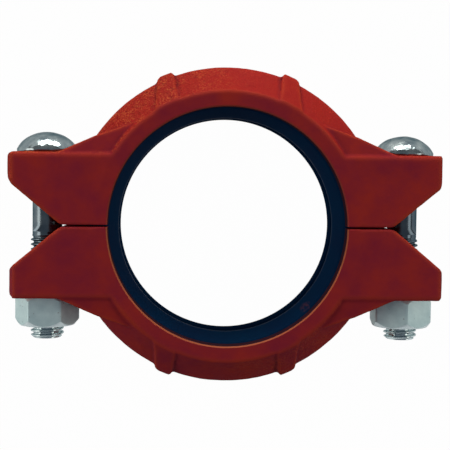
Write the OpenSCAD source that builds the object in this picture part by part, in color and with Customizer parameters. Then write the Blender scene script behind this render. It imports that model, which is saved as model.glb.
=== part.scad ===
// Flexible grooved pipe coupling for 4 in (DN 100) pipe: two identical cast
// segments, a C-section gasket, two oval-neck bolts and two heavy hex nuts.
// Millimetres. Z is the pipe axis, X runs from ear to ear and +Y is the side
// of the bolt heads. The origin is the centre of the bore at mid width.

/* [Housing ring] */
// Width of the housing along the pipe
width = 52; // [44:0.5:60]
// Radius of the key that sits in the pipe groove
key_r = 55.4; // [50:0.1:64]
// Wall of the ring over the gasket pocket
wall = 8; // [6:0.1:12]
// Half width of the crown before its sides slant in
crown_half = 9.5; // [6:0.1:12]
// Fall of a slanted side from the crown to the flat outer face
side_fall = 12.4; // [10:0.1:15]
// Radius of the rounding between crown and slanted side
crown_round = 6; // [2:0.5:9]
// Gap between the two segments at rest
parting_gap = 0.8; // [0.4:0.1:3]

/* [Keys and bevels] */
// Distance from mid width to the inner side of a key
key_in_z = 17.5; // [17.2:0.1:19]
// Distance from mid width to the start of the key's outer bevel
key_out_z = 24.9; // [20:0.1:25.5]
// Rise of the bevel from the key to the outer face
bevel_rise = 0.9; // [0.5:0.1:3]

/* [Gasket pocket] */
// Rise of the pocket floor over the key
pocket_rise = 11.6; // [9:0.1:13]
// Half width of the pocket floor
pocket_half = 12.5; // [10:0.1:14]
// Rise over the key where the pocket side turns
shoulder_rise = 5.1; // [3:0.1:6]
// Half width of the pocket where its side turns
shoulder_half = 16.9; // [14:0.1:17.2]

/* [Ribs] */
// Distance of a rib from the middle of the segment
rib_x = 29.6; // [20:0.1:40]
// Width of a rib at the crown
rib_w = 8.2; // [6:0.1:14]
// Width of a rib at its top
rib_top_w = 5.2; // [3:0.1:8]
// Height of a rib above the crown
rib_h = 2; // [1:0.1:5]
// Lean of a rib's inner flank towards the middle
rib_lean = 8; // [0:1:15]

/* [Ears] */
// Distance from a bolt to the end of its ear at mid width
ear_tip = 17.4; // [17:0.1:26]
// Fall of the rounded end of an ear from mid width to the outer faces
ear_rise = 5; // [3:0.1:12]
// Draft of the end of an ear
ear_draft = 2; // [0:0.5:6]
// Height of the gate stub on the end of one ear of each casting
stub_h = 0.8; // [0.2:0.1:1.5]
// Height of the bolt pad over the parting plane
pad_y = 33.9; // [30:0.1:40]
// Bevel between the pad and the flat outer faces
pad_bevel = 1.2; // [0.5:0.1:3]
// Distance from a bolt out to the end of the level pad
pad_reach = 12.6; // [10:0.1:16]
// Fall of the pad from there to the end of the ear
pad_fall = 1.4; // [0.2:0.1:3]
// Distance from a bolt in to the foot of the ramp on the pad
ramp_foot = 7.9; // [4:0.1:12]
// Angle of the ramp's lower part
ramp_angle = 24.2; // [18:0.1:30]
// Distance from a bolt in to the bend of the ramp
ramp_bend = 26; // [20:0.1:30]
// Angle of the ramp's upper part
ramp_top_angle = 18.7; // [10:0.1:24]
// Draft of the ramp's two sides
ramp_draft_angle = 6.3; // [2:0.1:12]
// Distance from a bolt in to the end of the level parting face
parting_end = 11.2; // [10.5:0.1:14]
// Radius of the rounding from the parting face to the V
vee_round = 6; // [2:0.1:10]
// Angle of the V between the ears
vee_angle = 39.5; // [25:0.5:45]
// Radius of the lower corner at the end of an ear
ear_corner = 5; // [2:0.1:8]

/* [Bolts] */
// Distance of a bolt from the crown's radius
bolt_out = 11; // [10:0.1:16]
// Outside diameter of the thread
thread_d = 15.875; // [12:0.005:16]
// Diameter of the plain shank
shank_d = 14.2; // [10:0.1:15]
// Length of a bolt under its head
bolt_len = 88.9; // [80:0.1:110]
// Length of the thread
thread_len = 49; // [40:0.1:60]
// Chamfer at the tip of the thread
tip_chamfer = 1.4; // [0.5:0.1:2.5]
// Diameter of a bolt head
head_d = 29; // [24:0.1:32]
// Height of a bolt head
head_h = 10; // [6:0.1:12]
// Height of the straight rim of a bolt head
head_rim = 1.6; // [0.5:0.1:3]
// Long side of the oval neck
neck_l = 20; // [17:0.1:26]
// Short side of the oval neck
neck_w = 15.8; // [15:0.1:18]
// Length of the oval neck under the head
neck_h = 9; // [5:0.1:14]
// Clearance all round the neck in its oval hole
neck_play = 0.5; // [0.4:0.05:1.2]
// Radius of the spot face under a head or a nut
spot_r = 16.3; // [15.8:0.1:18]
// Depth of the spot face below the pad
spot_depth = 0.2; // [0.1:0.05:1]

/* [Nuts] */
// Distance across the flats of a heavy hex nut
nut_af = 26.97; // [24:0.01:27]
// Height of a nut
nut_h = 15.2; // [10:0.1:20]
// Diameter of the flat ring at each end of a nut
nut_face_d = 26.4; // [22:0.1:26.6]
// Angle of the chamfers on the nut's corners
nut_chamfer_angle = 50; // [15:1:60]
// Radial clearance between a nut and its thread
thread_play = 0.05; // [0.03:0.01:0.1]
// Clearance between a nut and its seat
seat_play = 0.03; // [0.02:0.01:0.1]
// Turn of the left nut about its bolt
left_nut_turn = 1; // [-30:0.5:30]
// Turn of the right nut about its bolt
right_nut_turn = 30.5; // [0:0.5:60]

/* [Gasket] */
// Clearance between the gasket and the pocket floor
gasket_play = 1; // [0.9:0.1:1.5]
// Clearance between the gasket and the pocket sides
gasket_side_play = 0.7; // [0.65:0.05:1]
// Reach of the lip edges inside the key
lip_reach = 4.1; // [2:0.1:7]
// Distance from mid width to a lip edge
lip_z = 7.4; // [5:0.1:10]
// Thickness of a lip
lip_t = 2.6; // [1.5:0.1:4]
// Thickness of the gasket's back
gasket_back = 5; // [3:0.1:6]

/* [Hidden] */
$fn = 96;
half_w = width / 2;
seat_y = pad_y - spot_depth;
half_gap = parting_gap / 2;
over = 1;
shoulder_r = key_r + shoulder_rise;
pocket_r = key_r + pocket_rise;
crown_r = pocket_r + wall;
face_r = crown_r - side_fall;
bolt_x = crown_r + bolt_out;
ear_end = bolt_x + ear_tip;
reach = ear_end + 25;
parting_x = bolt_x - parting_end;
ramp_foot_x = bolt_x - ramp_foot;
ramp_bend_x = bolt_x - ramp_bend;
ramp_bend_y = pad_y + (ramp_foot_x - ramp_bend_x) * tan(ramp_angle);
ramp_top_x = crown_r * 0.48;
ramp_top_y = ramp_bend_y + (ramp_bend_x - ramp_top_x) * tan(ramp_top_angle);
ear_plan_r = (half_w * half_w + ear_rise * ear_rise) / (2 * ear_rise);
vee_x = parting_x + vee_round * sin(vee_angle);
vee_y = half_gap + vee_round * (1 - cos(vee_angle));
pad_end_y = pad_y - pad_fall;
corner_in = ear_end - pad_end_y * tan(ear_draft) - ear_corner / cos(ear_draft);
corner_y = (vee_y + (corner_in - vee_x) * tan(vee_angle) + ear_corner / cos(vee_angle))
    / (1 - tan(ear_draft) * tan(vee_angle));
corner_x = corner_in + corner_y * tan(ear_draft);
dome_h = head_h - head_rim;
dome_r = (head_d * head_d / 4 + dome_h * dome_h) / (2 * dome_h);
nut_corner_r = nut_af / 2 / cos(30);
pocket_side = atan((shoulder_half - pocket_half) / (pocket_r - shoulder_r));

// Points of an arc round c from angle a0 to a1 in n steps.
function arc(c, r, a0, a1, n) =
    [for (i = [0:n]) c + r * [cos(a0 + (a1 - a0) * i / n), sin(a0 + (a1 - a0) * i / n)]];

// A list of [r, z] points of the upper half, followed by its mirror image.
function both_sides(half) =
    concat(half, [for (i = [len(half) - 1:-1:0]) [half[i][0], -half[i][1]]]);

// Outer section of a ring with crown radius cr, crown half width ch and face radius fr.
module ring_section(cr, ch, fr) {
    slant = atan((cr - fr) / (half_w - ch));
    round_c = [cr - crown_round, ch - crown_round * tan(slant / 2)];
    polygon(both_sides(concat(
        [[0, half_w], [fr, half_w]],
        arc(round_c, crown_round, slant, 0, 5)
    )));
}

// Section of the hollow through the ring: bevels, keys and gasket pocket.
module bore_section() {
    bevel = bevel_rise / (half_w - key_out_z);
    polygon(both_sides([
        [0, half_w + over],
        [key_r + bevel_rise + over * bevel, half_w + over],
        [key_r, key_out_z],
        [key_r, key_in_z],
        [shoulder_r, shoulder_half],
        [pocket_r, pocket_half]
    ]));
}

// Distance to the drafted end of an ear at height y.
function end_x(y) = ear_end - (pad_end_y - y) * tan(ear_draft);

// Points up the end of an ear, where a gate stub of height h swells it.
function ear_end_points(h) =
    [for (t = [-0.75:0.25:0.75]) let (y = (corner_y + pad_end_y + t * (pad_end_y - corner_y)) / 2)
        [end_x(y) + h * (1 - t * t), y]];

// Outline of one ear and its pad, seen along the pipe.
module ear_outline(stub) {
    polygon(concat(
        [[key_r - 8, half_gap], [parting_x, half_gap]],
        arc([parting_x, half_gap + vee_round], vee_round, -90, vee_angle - 90, 5),
        arc([corner_x, corner_y], ear_corner, vee_angle - 90, -ear_draft, 5),
        stub > 0 ? ear_end_points(stub) : [],
        [[ear_end, pad_end_y], [bolt_x + pad_reach, pad_y], [key_r - 8, pad_y]]
    ));
}

// Outline of the ramp, seen along the pipe.
module ramp_outline() {
    polygon([
        [ramp_top_x, pad_y - 8],
        [ramp_foot_x, pad_y - 8],
        [ramp_foot_x, pad_y],
        [ramp_bend_x, ramp_bend_y],
        [ramp_top_x, ramp_top_y]
    ]);
}

// Plan of an ear, seen from the bolt head: flat faces and a rounded end.
module ear_plan(end) {
    intersection() {
        translate([0, -half_w]) square([reach, width]);
        translate([end - ear_plan_r, 0]) circle(r = ear_plan_r);
    }
}

// Block whose top edges are bevelled over the outer faces.
module pad_block() {
    rotate([90, 0, 90]) linear_extrude(reach) polygon([
        [0, -half_w - over],
        [pad_y - pad_bevel, -half_w],
        [pad_y + over, -half_w + pad_bevel + over],
        [pad_y + over, half_w - pad_bevel - over],
        [pad_y - pad_bevel, half_w],
        [0, half_w + over]
    ]);
}

// Block with the drafted sides of the ramp.
module ramp_block() {
    base = half_w - pad_bevel;
    rise = ramp_top_y - pad_y;
    top = base - rise * tan(ramp_draft_angle);
    rotate([90, 0, 90]) linear_extrude(reach) polygon([
        [0, -base],
        [pad_y, -base],
        [ramp_top_y, -top],
        [ramp_top_y, top],
        [pad_y, base],
        [0, base]
    ]);
}

// One ear along +X, with a gate stub of height stub on its end.
module ear(stub) {
    intersection() {
        union() {
            intersection() {
                translate([0, 0, -half_w - over]) linear_extrude(width + 2 * over) ear_outline(stub);
                pad_block();
            }
            intersection() {
                translate([0, 0, -half_w]) linear_extrude(width) ramp_outline();
                ramp_block();
            }
        }
        translate([0, reach, 0]) rotate([90, 0, 0]) linear_extrude(reach) ear_plan(ear_end + stub);
    }
}

// A rib over the crown: its outer flank is upright, its inner one leans.
module rib() {
    x_in = rib_x - rib_w / 2;
    x_out = rib_x + rib_w / 2;
    slope = (rib_w - rib_top_w) / 2 / rib_h;
    in_y = sqrt(crown_r * crown_r - x_in * x_in);
    out_y = sqrt(crown_r * crown_r - x_out * x_out) + rib_h / 2;
    low_y = face_r * 0.75;
    top_y = crown_r + rib_h;
    intersection() {
        rotate_extrude() ring_section(crown_r + rib_h, crown_half + 1, face_r + 0.6);
        translate([0, 0, -half_w]) linear_extrude(width) polygon([
            [x_in - (in_y - low_y) * tan(rib_lean), low_y],
            [x_in, in_y],
            [x_in + (top_y - in_y) * slope, top_y],
            [x_out - (top_y - out_y) * slope, top_y],
            [x_out, out_y],
            [x_out, low_y]
        ]);
    }
}

// A slot outline with round ends, its long side along X.
module oval(l, w) {
    square([l - w, w], center = true);
    translate([(l - w) / 2, 0]) circle(d = w);
    translate([(w - l) / 2, 0]) circle(d = w);
}

// Oval bolt hole through an ear, with the spot face round it.
module bolt_hole() {
    translate([bolt_x, 0, 0]) rotate([-90, 0, 0]) {
        linear_extrude(reach) oval(neck_l + 2 * neck_play, neck_w + 2 * neck_play);
        translate([0, 0, seat_y]) cylinder(h = reach, r = spot_r);
    }
}

// One cast segment on the +Y side, its gate stub on the left ear.
module segment() {
    difference() {
        intersection() {
            union() {
                rotate_extrude() ring_section(crown_r, crown_half, face_r);
                ear(0);
                mirror([1, 0, 0]) ear(stub_h);
                rib();
                mirror([1, 0, 0]) rib();
            }
            translate([-reach, half_gap, -half_w - over]) cube([2 * reach, reach, width + 2 * over]);
        }
        rotate_extrude() bore_section();
        bolt_hole();
        mirror([1, 0, 0]) bolt_hole();
    }
}

module gasket_ring() {
    side_r = pocket_r - gasket_play;
    side_z = shoulder_half - gasket_side_play / cos(pocket_side);
    back_r = side_r - gasket_back;
    lip_r = key_r - lip_reach;
    fall = tan(pocket_side);
    rotate_extrude() polygon(both_sides([
        [side_r, side_z - (side_r - shoulder_r) * fall],
        [shoulder_r, side_z],
        [key_r + 1.2, side_z + 0.3],
        [key_r + 0.2, side_z - 0.3],
        [lip_r + 0.1, lip_z + 0.9],
        [lip_r, lip_z],
        [lip_r + 0.9, lip_z - 0.9],
        [lip_r + lip_t, lip_z],
        [back_r - 2.6, side_z - 4.6],
        [back_r, side_z - 7]
    ]));
}

// A bolt under its head along -Z, its head above.
module bolt() {
    intersection() {
        cylinder(h = head_h + 1, d = head_d);
        translate([0, 0, head_h - dome_r]) sphere(r = dome_r);
    }
    translate([0, 0, -neck_h]) linear_extrude(neck_h + 0.5) oval(neck_l, neck_w);
    translate([0, 0, -bolt_len + thread_len - 1]) cylinder(h = bolt_len - thread_len + 1, d = shank_d);
    translate([0, 0, -bolt_len + tip_chamfer]) cylinder(h = thread_len - tip_chamfer, d = thread_d);
    translate([0, 0, -bolt_len]) cylinder(h = tip_chamfer, d1 = thread_d - 2 * tip_chamfer, d2 = thread_d);
}

// A nut standing on z = 0, its thread bore plain.
module nut() {
    bore_d = thread_d + 2 * thread_play;
    end_r = nut_face_d / 2;
    chamfer_h = (nut_corner_r - end_r) * tan(nut_chamfer_angle);
    difference() {
        intersection() {
            cylinder(h = nut_h, r = nut_corner_r, $fn = 6);
            rotate_extrude() polygon([
                [0, 0],
                [end_r, 0],
                [nut_corner_r, chamfer_h],
                [nut_corner_r + 0.5, chamfer_h + 0.3],
                [nut_corner_r + 0.5, nut_h - chamfer_h - 0.3],
                [nut_corner_r, nut_h - chamfer_h],
                [end_r, nut_h],
                [0, nut_h]
            ]);
        }
        translate([0, 0, -1]) cylinder(h = nut_h + 2, d = bore_d);
        translate([0, 0, nut_h - 0.9]) cylinder(h = 1, d1 = bore_d - 0.2, d2 = bore_d + 1.8);
        translate([0, 0, -0.1]) cylinder(h = 1, d1 = bore_d + 1.8, d2 = bore_d - 0.2);
    }
}

module head_side_housing() {
    color([0.62, 0.16, 0.12]) segment();
}

module nut_side_housing() {
    color([0.62, 0.16, 0.12]) rotate([0, 0, 180]) segment();
}

module gasket() {
    color([0.05, 0.09, 0.11]) gasket_ring();
}

module left_bolt() {
    color([0.75, 0.77, 0.78]) translate([-bolt_x, seat_y, 0]) rotate([-90, 0, 0]) bolt();
}

module right_bolt() {
    color([0.75, 0.77, 0.78]) translate([bolt_x, seat_y, 0]) rotate([-90, 0, 0]) bolt();
}

module left_nut() {
    color([0.66, 0.68, 0.7]) translate([-bolt_x, -seat_y - seat_play, 0])
        rotate([90, 0, 0]) rotate([0, 0, left_nut_turn]) nut();
}

module right_nut() {
    color([0.66, 0.68, 0.7]) translate([bolt_x, -seat_y - seat_play, 0])
        rotate([90, 0, 0]) rotate([0, 0, right_nut_turn]) nut();
}

head_side_housing();
nut_side_housing();
gasket();
left_bolt();
right_bolt();
left_nut();
right_nut();
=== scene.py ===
# A grooved pipe coupling lying on a pale floor, seen from above its front face.
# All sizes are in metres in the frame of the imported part: +Z is the pipe axis,
# X runs from ear to ear and the bolt heads are on the +Y side.
import math

import bpy
import numpy as np
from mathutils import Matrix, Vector, noise


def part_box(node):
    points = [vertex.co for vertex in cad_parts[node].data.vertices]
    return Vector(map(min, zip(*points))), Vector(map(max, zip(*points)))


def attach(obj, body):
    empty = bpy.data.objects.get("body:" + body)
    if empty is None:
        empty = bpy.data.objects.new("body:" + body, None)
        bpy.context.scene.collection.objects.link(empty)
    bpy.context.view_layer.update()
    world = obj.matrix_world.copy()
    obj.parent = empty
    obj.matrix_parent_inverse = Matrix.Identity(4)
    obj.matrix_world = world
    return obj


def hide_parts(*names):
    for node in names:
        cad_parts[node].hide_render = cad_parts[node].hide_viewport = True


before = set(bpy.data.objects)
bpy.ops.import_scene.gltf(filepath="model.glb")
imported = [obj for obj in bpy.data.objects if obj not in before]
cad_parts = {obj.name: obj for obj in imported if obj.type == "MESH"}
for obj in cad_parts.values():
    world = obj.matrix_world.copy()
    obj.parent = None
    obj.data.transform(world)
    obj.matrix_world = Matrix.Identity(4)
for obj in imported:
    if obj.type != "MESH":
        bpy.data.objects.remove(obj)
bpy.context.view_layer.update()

MM = 0.001
TURN = 2 * math.pi

# Camera, fitted to the outlines in the photograph
CAMERA_PLACE = Vector((-19.4, 24.7, 488.0)) * MM
CAMERA_TILT = [math.radians(a) for a in (-2.96, -2.2, 0.64)]
CAMERA_LENS = 80.6

# Bolts and nuts: 5/8 in heavy hardware with 11 threads to the inch. The rim of a head
# is given as (inset, drop) in millimetres from the edge of its dome.
PITCH = 25.4 * MM / 11
THREAD_R = 7.9 * MM
THREAD_DEPTH = 1.35 * MM
SHANK_R = 7.1 * MM
THREAD_LEN = 49.0 * MM
TIP_CHAMFER = 1.4 * MM
HEAD_H = 10.0 * MM
HEAD_RIM_H = 1.8 * MM
HEAD_RIM = [(0.0, 0.5), (0.05, 1.2), (0.3, 1.65), (0.7, 1.8)]
DOME_CAP = 0.945
DENT = 0.15 * MM
DENT_SIZE = 3.8 * MM
NECK_L = 20.0 * MM
NECK_W = 15.8 * MM
NECK_H = 9.0 * MM
NUT_AF = 26.97 * MM
NUT_FACE_R = 13.2 * MM
NUT_CHAMFER = math.tan(math.radians(50))
NUT_EDGE = 0.25 * MM
NUT_EDGE_ANGLE = math.radians(24)
NUT_BORE_R = 7.0 * MM
NUT_MOUTH_R = 8.7 * MM
NUT_MOUTH_H = 1.1 * MM
NUT_TURNS = {"left_nut": math.radians(1), "right_nut": math.radians(30.5)}
THREAD_GAP = 0.06 * MM

# The gasket lies a little to the left in its pocket, with a smear of red paint on it
GASKET_SHIFT = -0.45 * MM
SMEAR_PLACE = Vector((38.8, -39.2, 13.0)) * MM

# Light of the room at the horizon and straight overhead, and its lean to the bolt heads
WORLD_LOW = 0.03
WORLD_TOP = 0.34
WORLD_LEAN = 0.7

# Castings: their keys, and the outer face that is kept flat out to FLAT_R. Points inside
# the zones are put on KEY_EDGES, which leave STOCK for the plug to bore away.
VOXEL = 0.75 * MM
FACE_Z = 26.0 * MM
KEY_R = 55.4 * MM
KEY_IN_Z = 17.5 * MM
KEY_BEVEL = 0.6 * MM
KEY_EDGE_ANGLE = math.radians(28)
FLAT_R = 61.4 * MM
STOCK = 0.5 * MM
KEY_EDGES = [(KEY_R - STOCK, KEY_IN_Z), (KEY_R - STOCK, FACE_Z), (FLAT_R, FACE_Z)]
KEY_ZONE_R = KEY_R + 1.2 * MM
KEY_ZONE_Z = 18.2 * MM
FACE_ZONE_Z = FACE_Z - 0.4 * MM
PARTING_ZONE = 1.6 * MM

# Cast surfaces: waves and lumps, the depth that makes room for them, and the coarse sand
WAVE = 0.10 * MM
WAVE_SIZE = 11 * MM
LUMP = 0.07 * MM
LUMP_SIZE = 3.2 * MM
SUNK = 0.12 * MM
SHARP_BEND = 0.14
COARSE_FROM = 20 * MM
COARSE_TO = 58 * MM

# Share of white in the floor as the camera and mirrors see it
FLOOR_WHITE = 0.985

# Colours of the enamel: cooler and warmer parts of it, the sides painted brighter as light from
# above, painted shade in pits and creases, painted glints on the grain, painted highlights on
# edges and key bevels, and a darker colour on the key lands
ENAMEL_COOL = (0.25, 0.018, 0.036)
ENAMEL_WARM = (0.38, 0.028, 0.021)
ENAMEL_SIDE_LIT = (0.37, 0.019, 0.014)
ENAMEL_PIT_SHADE = (0.12, 0.008, 0.014)
ENAMEL_GLINT = (0.62, 0.115, 0.040)
ENAMEL_EDGE_HIGHLIGHT = (0.52, 0.060, 0.020)
ENAMEL_CREASE_SHADE = (0.09, 0.007, 0.018)
BEVEL_HIGHLIGHT = (0.44, 0.11, 0.05)
DARK_KEY_LAND = (0.035, 0.008, 0.016)

# Colours of the rubber, the zinc plate and the room
RUBBER_DARK = (0.001, 0.017, 0.058)
RUBBER_BLOOM = (0.001, 0.024, 0.070)
PAINT_SMEAR = (0.13, 0.035, 0.045)
ZINC_PIT = (0.10, 0.09, 0.09)
# Paler zinc: a painted highlight on nut chamfers, and a paler tone at the end of bolt threads
ZINC_PALE = (0.85, 0.97, 0.97)
# Darker zinc for painted shade on the bolt shanks
ZINC_SHANK_SHADE = (0.05, 0.07, 0.09)
ROOM_COLD = (0.55, 0.70, 1.0)
ROOM_PLAIN = (0.95, 0.97, 1.0)
WHITE = (1.0, 1.0, 1.0)


# Meshes

def link_object(name, data):
    """A new object in the scene for a mesh, a light or a camera."""
    added = bpy.data.objects.new(name, data)
    bpy.context.scene.collection.objects.link(added)
    return added


def link_mesh(name, points, faces):
    mesh = bpy.data.meshes.new(name)
    mesh.from_pydata([tuple(p) for p in points], [], faces)
    mesh.update()
    return link_object(name, mesh)


def settle(piece, material, body, slot, *nodes):
    """Smooth shading and a material; then the piece takes its body and CAD nodes. The slot is not
    used.
    """
    for face in piece.data.polygons:
        face.use_smooth = True
    piece.data.materials.clear()
    piece.data.materials.append(material)
    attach(piece, body)
    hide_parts(*nodes)


def join_rings(rings, closed=False):
    """Quads between rings of points. The last ring joins the first, or both ends get a cap."""
    count, around = len(rings), len(rings[0])
    faces = []
    for i in range(count if closed else count - 1):
        a, b = i * around, (i + 1) % count * around
        for j in range(around):
            k = (j + 1) % around
            faces.append((a + j, a + k, b + k, b + j))
    if not closed:
        faces.append(tuple(reversed(range(around))))
        faces.append(tuple(range((count - 1) * around, count * around)))
    return np.concatenate(rings), faces


def rounded(corners, steps):
    """Points of a closed outline through (x, y, radius) corners, each corner rounded."""
    out = []
    for i, (x, y, radius) in enumerate(corners):
        here = Vector((x, y))
        back = (Vector(corners[i - 1][:2]) - here).normalized()
        ahead = (Vector(corners[(i + 1) % len(corners)][:2]) - here).normalized()
        half = back.angle(ahead) / 2
        centre = here + (back + ahead).normalized() * (radius / math.sin(half))
        start = here + back * (radius / math.tan(half)) - centre
        end = here + ahead * (radius / math.tan(half)) - centre
        for s in range(steps + 1):
            out.append(tuple(centre + start.slerp(end, s / steps)))
    return out


def normals_of(mesh):
    out = np.empty(len(mesh.vertices) * 3)
    mesh.vertex_normals.foreach_get("vector", out)
    return out.reshape(-1, 3)


def places_of(mesh):
    out = np.empty(len(mesh.vertices) * 3)
    mesh.vertices.foreach_get("co", out)
    return out.reshape(-1, 3)


def edge_ends(mesh):
    """The two points of each edge, as two arrays."""
    ends = np.empty(len(mesh.edges) * 2, dtype=np.int32)
    mesh.edges.foreach_get("vertices", ends)
    return ends.reshape(-1, 2).T


def move_points(mesh, points):
    mesh.vertices.foreach_set("co", points.ravel())
    mesh.update()


def cast_noise(points, size, shift):
    """Smooth noise between about -1 and 1 with features of one size."""
    return np.array([noise.noise(Vector(p) / size + shift) for p in points])


def smooth_step(x, low, high):
    t = np.clip((x - low) / (high - low), 0, 1)
    return t * t * (3 - 2 * t)


def nearest_on_path(points, path):
    """The nearest place on a path of straight parts for each of the 2-D points."""
    path = np.array(path)
    best = points.copy()
    distance = np.full(len(points), np.inf)
    for start, end in zip(path, path[1:]):
        along = np.clip((points - start) @ (end - start) / np.sum((end - start) ** 2), 0, 1)
        place = start + along[:, None] * (end - start)
        gap = np.hypot(*(points - place).T)
        closer = gap < distance
        best[closer] = place[closer]
        distance[closer] = gap[closer]
    return best


def square_keys(places):
    """Puts the points round the two keys on a square profile with stock to bore away."""
    radius = np.hypot(places[:, 0], places[:, 1])
    height = np.abs(places[:, 2])
    near = (radius < KEY_ZONE_R) & (height > KEY_ZONE_Z)
    near |= (radius < FLAT_R) & (height > FACE_ZONE_Z)
    profile = nearest_on_path(np.stack([radius[near], height[near]], axis=1), KEY_EDGES)
    places[near, :2] *= (profile[:, 0] / radius[near])[:, None]
    places[near, 2] = np.sign(places[near, 2]) * profile[:, 1]


def make_bore_plug():
    """A turned plug with the exact outline of both keys and their bevels."""
    mouth_r = KEY_R + 2 * KEY_BEVEL
    mouth_z = FACE_Z + KEY_BEVEL
    land_z = FACE_Z - KEY_BEVEL
    outline = [(mouth_r, -mouth_z), (KEY_R, -land_z), (KEY_R, land_z), (mouth_r, mouth_z)]
    angle = np.linspace(0, TURN, 360, endpoint=False)
    circle = np.stack([np.cos(angle), np.sin(angle), np.zeros_like(angle)], axis=1)
    rings = [r * circle + (0, 0, z) for r, z in outline]
    return link_mesh("bore_plug", *join_rings(rings))


def finish_keys(mesh, bevel_light):
    """Marks the keys' bored lands, and their bevels for a painted highlight; keeps their edges
    sharp.
    """
    centres = np.empty(len(mesh.polygons) * 3)
    mesh.polygons.foreach_get("center", centres)
    centres = centres.reshape(-1, 3)
    radius = np.hypot(centres[:, 0], centres[:, 1])
    height = np.abs(centres[:, 2])
    land = radius < KEY_R + 0.02 * MM
    bevel = ~land & (height > FACE_Z - KEY_BEVEL) & (radius < KEY_R + KEY_BEVEL)
    bevel &= height < FACE_Z - 0.02 * MM
    add_layer(mesh, "land", land, "FACE")
    add_layer(mesh, "bevel", bevel * bevel_light, "FACE")
    mesh.set_sharp_from_angle(angle=KEY_EDGE_ANGLE)
    places = places_of(mesh)
    near = np.hypot(places[:, 0], places[:, 1]) < KEY_R + 1.5 * KEY_BEVEL
    a, b = edge_ends(mesh)
    sharp = np.empty(len(mesh.edges), dtype=bool)
    layer = mesh.attributes["sharp_edge"].data
    layer.foreach_get("value", sharp)
    layer.foreach_set("value", sharp & near[a] & near[b])


def bend_of(mesh, places, normals, rounds):
    """How hollow the surface is at each point: above 0 in creases, below 0 on edges."""
    a, b = edge_ends(mesh)
    count = len(places)
    neighbours = np.bincount(a, minlength=count) + np.bincount(b, minlength=count)

    def spread(values):
        return (np.bincount(a, values[b], count) + np.bincount(b, values[a], count)) / neighbours

    middle = np.stack([spread(places[:, axis]) for axis in range(3)], axis=1)
    bend = np.sum((middle - places) * normals, axis=1)
    for _ in range(rounds):
        bend = 0.5 * bend + 0.5 * spread(bend)
    return bend


def add_layer(mesh, name, values, domain="POINT"):
    layer = mesh.attributes.new(name, "FLOAT", domain)
    layer.data.foreach_set("value", values.astype(np.float32))


# Materials

def new_material(name):
    material = bpy.data.materials.new(name)
    material.use_nodes = True
    tree = material.node_tree
    shader = tree.nodes["Principled BSDF"]
    return material, tree, shader


def object_coords(tree):
    return tree.nodes.new("ShaderNodeTexCoord").outputs["Object"]


def noise_node(tree, coords, scale, detail=4.0, roughness=0.55):
    node = tree.nodes.new("ShaderNodeTexNoise")
    node.inputs["Scale"].default_value = scale
    node.inputs["Detail"].default_value = detail
    node.inputs["Roughness"].default_value = roughness
    tree.links.new(coords, node.inputs["Vector"])
    return node.outputs["Fac"]


def layer_node(tree, name):
    node = tree.nodes.new("ShaderNodeAttribute")
    node.attribute_name = name
    return node.outputs["Fac"]


def ramp_node(tree, value, *stops):
    node = tree.nodes.new("ShaderNodeValToRGB")
    ramp = node.color_ramp
    while len(ramp.elements) < len(stops):
        ramp.elements.new(0.5)
    for element, (place, colour) in zip(ramp.elements, stops):
        element.position = place
        element.color = (*colour, 1)
    tree.links.new(value, node.inputs["Fac"])
    return node.outputs["Color"]


def range_node(tree, value, from_low, from_high, to_low, to_high):
    node = tree.nodes.new("ShaderNodeMapRange")
    for name, number in zip(("From Min", "From Max", "To Min", "To Max"),
                            (from_low, from_high, to_low, to_high)):
        node.inputs[name].default_value = number
    tree.links.new(value, node.inputs["Value"])
    return node.outputs["Result"]


def mix_colour(tree, factor, a, b):
    node = tree.nodes.new("ShaderNodeMix")
    node.data_type = "RGBA"
    tree.links.new(factor, node.inputs["Factor"])
    for socket, value in ((node.inputs["A"], a), (node.inputs["B"], b)):
        if isinstance(value, bpy.types.NodeSocket):
            tree.links.new(value, socket)
        else:
            socket.default_value = (*value, 1)
    return node.outputs["Result"]


def math_node(tree, kind, a, b):
    node = tree.nodes.new("ShaderNodeMath")
    node.operation = kind
    for socket, value in zip(node.inputs, (a, b)):
        if isinstance(value, bpy.types.NodeSocket):
            tree.links.new(value, socket)
        else:
            socket.default_value = value
    return node.outputs["Value"]


def bump_node(tree, height, strength, distance, normal=None):
    node = tree.nodes.new("ShaderNodeBump")
    node.inputs["Distance"].default_value = distance
    tree.links.new(height, node.inputs["Height"])
    if isinstance(strength, bpy.types.NodeSocket):
        tree.links.new(strength, node.inputs["Strength"])
    else:
        node.inputs["Strength"].default_value = strength
    if normal is not None:
        tree.links.new(normal, node.inputs["Normal"])
    return node.outputs["Normal"]


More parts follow.
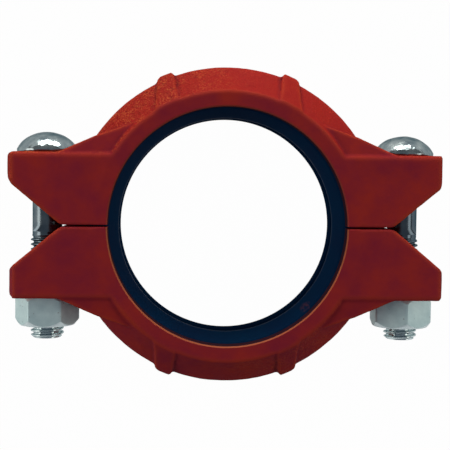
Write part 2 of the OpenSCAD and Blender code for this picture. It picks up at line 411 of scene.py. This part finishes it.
def paint_material():
    """Red enamel over a sand casting, with grain on the as-cast surfaces."""
    material, tree, shader = new_material("housing_paint")
    coords = object_coords(tree)
    names = ("side", "grain", "hollow", "crest", "land", "bevel")
    side, grain, hollow, crest, land, bevel = [layer_node(tree, name) for name in names]
    blotch = noise_node(tree, coords, 55.0, 6.0, 0.62)
    fine_grain_and_glint = noise_node(tree, coords, 1150.0, 2.0, 0.6)
    colour = ramp_node(tree, blotch, (0.3, ENAMEL_COOL), (0.7, ENAMEL_WARM))
    # The marked sides of the upper casting get a brighter colour: painted light from above
    colour = mix_colour(tree, side, colour, ENAMEL_SIDE_LIT)
    patch = range_node(tree, noise_node(tree, coords, 150.0, 4.0, 0.6), 0.42, 0.60, 0.25, 1.0)
    patchy = math_node(tree, "MULTIPLY", patch, grain)
    pit = noise_node(tree, coords, 330.0, 4.0, 0.7)
    # Pits of the grain get a darker colour: painted shade in them
    pit_mask = math_node(tree, "MULTIPLY", range_node(tree, pit, 0.45, 0.33, 0.0, 0.9), patchy)
    colour = mix_colour(tree, pit_mask, colour, ENAMEL_PIT_SHADE)
    # Light specks on the grain: painted glints of light on its facets
    glint_mask = math_node(tree, "MULTIPLY", range_node(tree, fine_grain_and_glint, 0.45, 0.70, 0.0, 1.0), patchy)
    colour = mix_colour(tree, glint_mask, colour, ENAMEL_GLINT)
    # Convex edges get a paler colour: a painted highlight
    colour = mix_colour(tree, math_node(tree, "MULTIPLY", crest, 0.7), colour, ENAMEL_EDGE_HIGHLIGHT)
    # Creases get a darker colour: painted shade
    colour = mix_colour(tree, math_node(tree, "MULTIPLY", hollow, 0.8), colour, ENAMEL_CREASE_SHADE)
    # Key bevels get a paler colour: a painted highlight, strongest on the lower casting
    colour = mix_colour(tree, bevel, colour, BEVEL_HIGHLIGHT)
    # Key lands get a darker colour
    colour = mix_colour(tree, land, colour, DARK_KEY_LAND)
    tree.links.new(colour, shader.inputs["Base Color"])
    tree.links.new(range_node(tree, blotch, 0.3, 0.7, 0.58, 0.68), shader.inputs["Roughness"])
    shader.inputs["Specular IOR Level"].default_value = 0.0
    shader.inputs["Coat Weight"].default_value = 0.05
    shader.inputs["Coat Roughness"].default_value = 0.42
    rough = bump_node(tree, pit, range_node(tree, grain, 0, 1, 0.06, 1.0), 1.4 * MM)
    fine = bump_node(tree, fine_grain_and_glint, range_node(tree, grain, 0, 1, 0.05, 1.0), 0.5 * MM, rough)
    tree.links.new(fine, shader.inputs["Normal"])
    return material


def rubber_material():
    """Black moulded rubber with a faint bloom and one smear of paint."""
    material, tree, shader = new_material("gasket_rubber")
    coords = object_coords(tree)
    bloom = noise_node(tree, coords, 70.0, 5.0)
    colour = ramp_node(tree, bloom, (0.35, RUBBER_DARK), (0.7, RUBBER_BLOOM))
    offset = tree.nodes.new("ShaderNodeVectorMath")
    offset.operation = "DISTANCE"
    tree.links.new(coords, offset.inputs[0])
    offset.inputs[1].default_value = SMEAR_PLACE
    smear = range_node(tree, offset.outputs["Value"], 4 * MM, 1 * MM, 0.0, 0.8)
    patch = range_node(tree, noise_node(tree, coords, 500.0), 0.42, 0.60, 0.0, 1.0)
    colour = mix_colour(tree, math_node(tree, "MULTIPLY", smear, patch), colour, PAINT_SMEAR)
    tree.links.new(colour, shader.inputs["Base Color"])
    tree.links.new(range_node(tree, bloom, 0.3, 0.7, 0.6, 0.7), shader.inputs["Roughness"])
    shader.inputs["Specular IOR Level"].default_value = 0.03
    texture = noise_node(tree, coords, 900.0, 3.0)
    tree.links.new(bump_node(tree, texture, 0.25, 0.2 * MM), shader.inputs["Normal"])
    return material


def zinc_material(name, light, dark, smooth, rough, metal, pits, dents):
    """Zinc plate on steel: cloudy, finely rough and dented, with dark pits and a part darkened as
    painted shade.
    """
    material, tree, shader = new_material(name)
    coords = object_coords(tree)
    cloud = noise_node(tree, coords, 160.0, 5.0)
    colour = ramp_node(tree, cloud, (0.3, dark), (0.7, light))
    pit = noise_node(tree, coords, 650.0, 1.0)
    pit_mask = range_node(tree, pit, 0.74, 0.8, 0.0, pits)
    colour = mix_colour(tree, pit_mask, colour, ZINC_PIT)
    # Paler where marked: a painted highlight on nut chamfers, a paler tone at a bolt's thread end
    colour = mix_colour(tree, layer_node(tree, "rim"), colour, ZINC_PALE)
    shaded_part = layer_node(tree, "painted_shade")
    # The marked part of a bolt gets a darker colour: painted shade on the shank between the ears
    colour = mix_colour(tree, shaded_part, colour, ZINC_SHANK_SHADE)
    tree.links.new(colour, shader.inputs["Base Color"])
    shader.inputs["Metallic"].default_value = metal
    shader.inputs["Specular Tint"].default_value = (0.35, 0.40, 0.42, 1)
    tree.links.new(range_node(tree, cloud, 0.3, 0.7, smooth, rough), shader.inputs["Roughness"])
    depth = range_node(tree, shaded_part, 0.0, 0.5, dents, 0.0)
    dented = bump_node(tree, noise_node(tree, coords, 300.0, 1.0), depth, 0.6 * MM)
    fine = bump_node(tree, noise_node(tree, coords, 1400.0, 3.0), 0.25, 0.05 * MM, dented)
    tree.links.new(fine, shader.inputs["Normal"])
    return material


PAINT = paint_material()
RUBBER = rubber_material()
BOLT_ZINC = zinc_material(
    "bolt_zinc", light=(0.33, 0.38, 0.38), dark=(0.13, 0.17, 0.19),
    smooth=0.14, rough=0.26, metal=1.0, pits=0.5, dents=0.8,
)
NUT_ZINC = zinc_material(
    "nut_zinc", light=(0.72, 0.90, 0.88), dark=(0.53, 0.71, 0.71),
    smooth=0.46, rough=0.56, metal=0.40, pits=0.9, dents=0.15,
)


# Pieces

def apply_modifiers(piece):
    """The mesh of a scratch piece with its modifiers applied; the piece itself goes."""
    depsgraph = bpy.context.evaluated_depsgraph_get()
    mesh = bpy.data.meshes.new_from_object(piece.evaluated_get(depsgraph))
    bpy.data.objects.remove(piece)
    return mesh


def worn_copy(node):
    """The mesh of a solid, rebuilt from voxels and softened, so that its edges are worn."""
    source = link_object(node + "_cast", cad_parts[node].data.copy())
    remesh = source.modifiers.new("voxels", "REMESH")
    remesh.mode = "VOXEL"
    remesh.voxel_size = VOXEL
    soften = source.modifiers.new("soften", "SMOOTH")
    soften.factor = 0.5
    soften.iterations = 1
    return apply_modifiers(source)


def roughen(mesh, shift, turn, coarse, bright):
    """Makes the as-cast surfaces uneven and marks them for the paint.

    The noise is moved by shift. The sand was coarser towards the direction turn, by the
    share coarse. The sides get a brighter enamel than the faces, by the share of painted light
    from above.
    """
    places, normals = places_of(mesh), normals_of(mesh)
    radius = np.hypot(places[:, 0], places[:, 1])
    outward = np.maximum(1 - np.abs(normals[:, 2]), 0)
    off_parting = smooth_step(np.abs(places[:, 1]), 0.5 * PARTING_ZONE, PARTING_ZONE)
    cast = off_parting * smooth_step(radius, KEY_R + 2 * MM, KEY_R + 6 * MM)
    uneven = off_parting * smooth_step(radius, FLAT_R, FLAT_R + 5 * MM)
    grain = cast * smooth_step(outward, 0.05, 0.35)
    along = places[:, 0] * math.cos(turn) + places[:, 1] * math.sin(turn)
    coarse_side = smooth_step(along, COARSE_FROM, COARSE_TO)
    wave = cast_noise(places, WAVE_SIZE, Vector((shift, 0, 0)))
    lump = cast_noise(places, LUMP_SIZE, Vector((0, shift, 0)))
    push = uneven * (WAVE * wave + LUMP * grain * lump - SUNK)
    places += normals * push[:, None]
    places[:, 2] = np.clip(places[:, 2], -FACE_Z, FACE_Z)
    square_keys(places)
    move_points(mesh, places)
    bend = bend_of(mesh, places, normals_of(mesh), 2) / (VOXEL * SHARP_BEND)
    # Sides marked for a brighter colour, as painted light from above
    add_layer(mesh, "side", grain * bright)
    add_layer(mesh, "grain", grain * (0.08 + 0.92 * coarse_side) * coarse)
    add_layer(mesh, "hollow", np.clip(bend, 0, 1) * cast)
    add_layer(mesh, "crest", np.clip(-bend, 0, 1) * cast)


def bored(name, mesh, plug):
    """The mesh with the plug cut out of it."""
    rough = link_object(name, mesh)
    bore = rough.modifiers.new("bore", "BOOLEAN")
    bore.operation = "DIFFERENCE"
    bore.solver = "MANIFOLD"
    bore.object = plug
    return apply_modifiers(rough)


def make_housing(node, body, plug, bevel_light, **casting):
    """A casting whose keys are bored with the plug, so that their edges are crisp.

    The keys' bevels get a painted highlight, by the share of bevel light.
    """
    mesh = worn_copy(node)
    roughen(mesh, **casting)
    mesh = bored(node + "_rough", mesh, plug)
    finish_keys(mesh, bevel_light)
    piece = link_object(node + "_casting", mesh)
    settle(piece, PAINT, body, "housing_paint", node)


def make_gasket():
    """The rubber ring: a C section, open to the bore, with two thin lips.

    The section is given as (radius, height, rounding) in millimetres.
    """
    upper = [
        (66.0, 12.3, 1.2), (60.5, 16.0, 0.8), (56.6, 16.3, 0.3), (55.6, 15.7, 0.4),
        (51.3, 8.4, 0.7), (51.3, 6.9, 0.5), (52.6, 6.6, 0.5), (53.9, 7.4, 0.5),
        (58.4, 11.4, 1.5), (61.0, 9.0, 2.0),
    ]
    lower = [(r, -z, rounding) for r, z, rounding in reversed(upper)]
    outline = rounded(upper + lower, 4)
    spokes = 288
    rings = []
    for i in range(spokes):
        a = TURN * i / spokes
        rings.append(np.array([(r * math.cos(a), r * math.sin(a), z) for r, z in outline]) * MM)
    points, faces = join_rings(rings, closed=True)
    points[:, 0] += GASKET_SHIFT
    piece = link_mesh("gasket_ring", points, faces)
    settle(piece, RUBBER, "nut_side", "gasket_rubber", "gasket")


def thread_height(turn_part):
    """Height of a rolled thread, 0 at the root and 1 at the crest, over one pitch."""
    t = np.abs((turn_part % 1.0) * 2 - 1)
    return smooth_step(t, 0.16, 0.84)


def thread_radius(angle, y):
    """Radius of the right-hand thread at an angle from +X towards +Z and a height y."""
    lobe = thread_height(y / PITCH + angle / TURN)
    return THREAD_R - THREAD_DEPTH * (1 - lobe)


def oval_radius(angle, long_side, short_side):
    half = (long_side - short_side) / 2
    end_r = short_side / 2
    along, across = np.abs(np.cos(angle)), np.abs(np.sin(angle))
    on_end = half * along + np.sqrt(np.maximum(end_r ** 2 - (half * across) ** 2, 0))
    on_side = end_r / np.maximum(across, 1e-6)
    return np.where(on_end * along >= half, on_end, on_side)


def bolt_profile(angle, head_r, top_y, tip_y):
    """The radius and height of each ring of a bolt, from the top of its head to its tip."""
    seat_y = top_y - HEAD_H
    dome_y = seat_y + HEAD_RIM_H
    for s in np.linspace(0.02, 1, 26) ** 1.4:
        fall = (1 - math.sqrt(1 - (DOME_CAP * s) ** 2)) / (1 - math.sqrt(1 - DOME_CAP ** 2))
        yield head_r * s * 0.995, top_y - fall * (top_y - dome_y)
    for inset, drop in HEAD_RIM:
        yield head_r - inset * MM, dome_y - drop * MM
    neck = oval_radius(angle, NECK_L, NECK_W)
    yield neck + 0.5 * MM, seat_y
    yield neck, seat_y - 0.6 * MM
    neck_end = seat_y - NECK_H
    for y in np.linspace(seat_y - 1 * MM, neck_end + 1 * MM, 6):
        yield neck, y
    for s in np.linspace(0, 1, 8):
        blend = s * s * (3 - 2 * s)
        yield neck * (1 - blend) + SHANK_R * blend, neck_end + (1 - 2.2 * s) * MM
    thread_top = tip_y + THREAD_LEN
    for y in np.linspace(neck_end - 2 * MM, thread_top + PITCH, 10):
        yield SHANK_R, y
    for y in np.arange(thread_top + PITCH, tip_y, -PITCH / 14):
        run_in = smooth_step(np.array(thread_top + 0.5 * PITCH - y), 0, 1.4 * PITCH)
        radius = SHANK_R + (thread_radius(angle, y) - SHANK_R) * run_in
        cone = THREAD_R - TIP_CHAMFER + (y - tip_y) * 1.1
        yield np.minimum(radius, cone), y
    yield THREAD_R - TIP_CHAMFER - 0.4 * MM, tip_y


def make_bolt(node, shank_shade):
    """A forged oval-neck bolt: domed head, neck, plain shank and rolled thread.

    Its neck and shank are darkened as painted shade, by the share of shank shade, and the end
    of its thread is paler.
    """
    low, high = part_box(node)
    x = (low[0] + high[0]) / 2
    head_r = (high[0] - low[0]) / 2
    tip_y, top_y = low[1], high[1]
    seat_y = top_y - HEAD_H
    dome_y = seat_y + HEAD_RIM_H
    angle = np.linspace(0, TURN, 96, endpoint=False)
    rings = []
    for radius, y in bolt_profile(angle, head_r, top_y, tip_y):
        height = np.full_like(angle, y)
        rings.append(np.stack([x + radius * np.cos(angle), height, radius * np.sin(angle)], axis=1))
    points, faces = join_rings(rings)
    on_head = smooth_step(points[:, 1], dome_y, dome_y + 1.5 * MM)
    dents = cast_noise(points, DENT_SIZE, Vector((x / MM, 0, 0)))
    points[:, 1] += on_head * DENT * (dents - 1)
    piece = link_mesh(node + "_forging", points, faces)
    on_shank = smooth_step(points[:, 1], tip_y + 20 * MM, tip_y + 28 * MM)
    under_head = smooth_step(points[:, 1], seat_y - 3 * MM, seat_y)
    add_layer(piece.data, "rim", 0.5 * (1 - on_shank))
    # Neck and shank below the head darkened: painted shade between the ears
    add_layer(piece.data, "painted_shade", shank_shade * on_shank * (1 - under_head))
    settle(piece, BOLT_ZINC, "head_side", "bolt_zinc", node)


def nut_profile(angle, turn, low_y, high_y):
    """The radius and height of each ring of a nut, and 1 on its chamfers or 0 elsewhere."""
    half_side = math.radians(30)
    local = (angle - turn + half_side) % (2 * half_side) - half_side
    flat_r = NUT_AF / 2 / np.cos(local)
    corner_r = NUT_AF / 2 / math.cos(half_side)
    hex_r = np.minimum(flat_r, corner_r - NUT_EDGE)
    chamfer = np.maximum(hex_r - NUT_FACE_R, 0) * NUT_CHAMFER
    for step in np.linspace(0, 1, 6):
        inner = NUT_FACE_R + (hex_r - NUT_FACE_R) * step
        yield inner - 0.15 * MM * (step == 1), low_y + chamfer * step + 0.02 * MM, 1
    start = low_y + chamfer + NUT_EDGE
    end = high_y - chamfer - NUT_EDGE
    for step in (0, *np.linspace(0.1, 0.9, 7), 1):
        yield hex_r, start + (end - start) * step, 0
    for step in np.linspace(1, 0, 6):
        inner = NUT_FACE_R + (hex_r - NUT_FACE_R) * step
        yield inner - 0.15 * MM * (step == 1), high_y - chamfer * step - 0.02 * MM, 1
    for y in np.arange(high_y, low_y, -PITCH / 12):
        mouth = max(1 - (high_y - y) / NUT_MOUTH_H, 1 - (y - low_y) / NUT_MOUTH_H, 0)
        thread = thread_radius(math.pi / 2 - angle, y) + THREAD_GAP
        yield np.maximum(thread, NUT_BORE_R + (NUT_MOUTH_R - NUT_BORE_R) * mouth), y, 0
    yield NUT_MOUTH_R, low_y, 0


def make_nut(node):
    """A heavy hex nut with chamfered corners and a threaded bore, its chamfers paler as a painted
    highlight.
    """
    low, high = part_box(node)
    x = (low[0] + high[0]) / 2
    angle = np.linspace(0, TURN, 144, endpoint=False)
    rings = []
    rim = []
    for radius, y, on_rim in nut_profile(angle, NUT_TURNS[node], low[1], high[1]):
        height = y * np.ones_like(angle)
        rings.append(np.stack([x + radius * np.sin(angle), height, radius * np.cos(angle)], axis=1))
        rim.append(on_rim * np.ones_like(angle))
    piece = link_mesh(node + "_hex", *join_rings(rings, closed=True))
    piece.data.set_sharp_from_angle(angle=NUT_EDGE_ANGLE)
    # Chamfers paler: a painted highlight
    add_layer(piece.data, "rim", np.concatenate(rim))
    settle(piece, NUT_ZINC, node, "nut_zinc", node)


bore_plug = make_bore_plug()
make_housing(
    "head_side_housing", "head_side", bore_plug,
    bevel_light=0.3, shift=3.7, turn=math.radians(150), coarse=1.0, bright=0.8,
)
make_housing(
    "nut_side_housing", "nut_side", bore_plug,
    bevel_light=1.0, shift=19.2, turn=math.radians(330), coarse=0.4, bright=0.0,
)
bpy.data.objects.remove(bore_plug)
make_gasket()
make_bolt("left_bolt", shank_shade=0.65)
make_bolt("right_bolt", shank_shade=0.85)
make_nut("left_nut")
make_nut("right_nut")


# Floor, lights and camera

def seen_directly(tree):
    """1 for what the camera, a mirror or glass sees, 0 for light on its way to a surface."""
    paths = tree.nodes.new("ShaderNodeLightPath")
    seen = math_node(tree, "MAXIMUM", paths.outputs["Is Camera Ray"], paths.outputs["Is Glossy Ray"])
    return math_node(tree, "MAXIMUM", seen, paths.outputs["Is Transmission Ray"])


def make_floor():
    """A pale floor that the camera and mirrors see as white, with the part's shadow on it."""
    material, tree, shader = new_material("floor_paper")
    shader.inputs["Base Color"].default_value = (0.62, 0.62, 0.63, 1)
    shader.inputs["Roughness"].default_value = 0.8
    glow = tree.nodes.new("ShaderNodeEmission")
    glow.inputs["Strength"].default_value = 1.0
    share = math_node(tree, "MULTIPLY", seen_directly(tree), FLOOR_WHITE)
    blend = tree.nodes.new("ShaderNodeMixShader")
    tree.links.new(share, blend.inputs["Fac"])
    tree.links.new(shader.outputs["BSDF"], blend.inputs[1])
    tree.links.new(glow.outputs["Emission"], blend.inputs[2])
    output = tree.nodes["Material Output"]
    tree.links.new(blend.outputs["Shader"], output.inputs["Surface"])
    size = 3.0
    corners = [(-size, -size, 0), (size, -size, 0), (size, size, 0), (-size, size, 0)]
    floor = link_mesh("floor", corners, [(0, 1, 2, 3)])
    floor.location.z = -FACE_Z - 0.05 * MM
    floor.data.materials.append(material)


def make_lamp(name, place, width, height, power, colour):
    """An area lamp aimed at the middle of the part."""
    light = bpy.data.lights.new(name, "AREA")
    light.shape = "RECTANGLE"
    light.size = width
    light.size_y = height
    light.energy = power
    light.color = colour
    lamp = link_object(name, light)
    lamp.location = place
    lamp.rotation_euler = (-Vector(place)).to_track_quat("-Z", "Y").to_euler()


def make_world():
    """A dim room, brighter overhead and at the bolt heads and bluer on the side of the nuts.

    Near the horizon the camera and mirrors see a white backdrop instead.
    """
    world = bpy.data.worlds.new("studio")
    bpy.context.scene.world = world
    world.use_nodes = True
    tree = world.node_tree
    background = tree.nodes["Background"]
    coords = tree.nodes.new("ShaderNodeTexCoord").outputs["Generated"]
    parts = tree.nodes.new("ShaderNodeSeparateXYZ")
    tree.links.new(coords, parts.inputs["Vector"])
    up = range_node(tree, parts.outputs["Z"], 0.0, 1.0, WORLD_LOW, WORLD_TOP)
    lean = range_node(tree, parts.outputs["Y"], -1.0, 1.0, 1 - WORLD_LEAN, 1 + WORLD_LEAN)
    level = math_node(tree, "MULTIPLY", up, lean)
    side = range_node(tree, parts.outputs["Y"], -0.8, 0.4, 0.0, 1.0)
    room = mix_colour(tree, side, ROOM_COLD, ROOM_PLAIN)
    low = range_node(tree, parts.outputs["Z"], 0.25, 0.29, 1.0, 0.0)
    backdrop = math_node(tree, "MULTIPLY", seen_directly(tree), low)
    tree.links.new(math_node(tree, "MAXIMUM", level, backdrop), background.inputs["Strength"])
    tree.links.new(mix_colour(tree, backdrop, room, WHITE), background.inputs["Color"])


def make_camera():
    camera = bpy.data.cameras.new("camera")
    camera.lens = CAMERA_LENS
    camera.sensor_width = 36
    holder = link_object("camera", camera)
    holder.location = CAMERA_PLACE
    holder.rotation_euler = CAMERA_TILT
    bpy.context.scene.camera = holder


make_floor()
make_lamp("key", (0.0, 0.8, 0.10), 0.7, 0.16, 4.8, (1.0, 0.95, 0.88))
make_lamp("left_side", (-0.75, 0.0, 0.34), 0.6, 0.3, 1.7, (1.0, 0.94, 0.88))
make_lamp("right_side", (0.7, 0.0, 0.5), 0.6, 0.3, 1.3, (1.0, 0.94, 0.86))
make_world()
make_camera()
bpy.context.scene.view_settings.view_transform = "Standard"
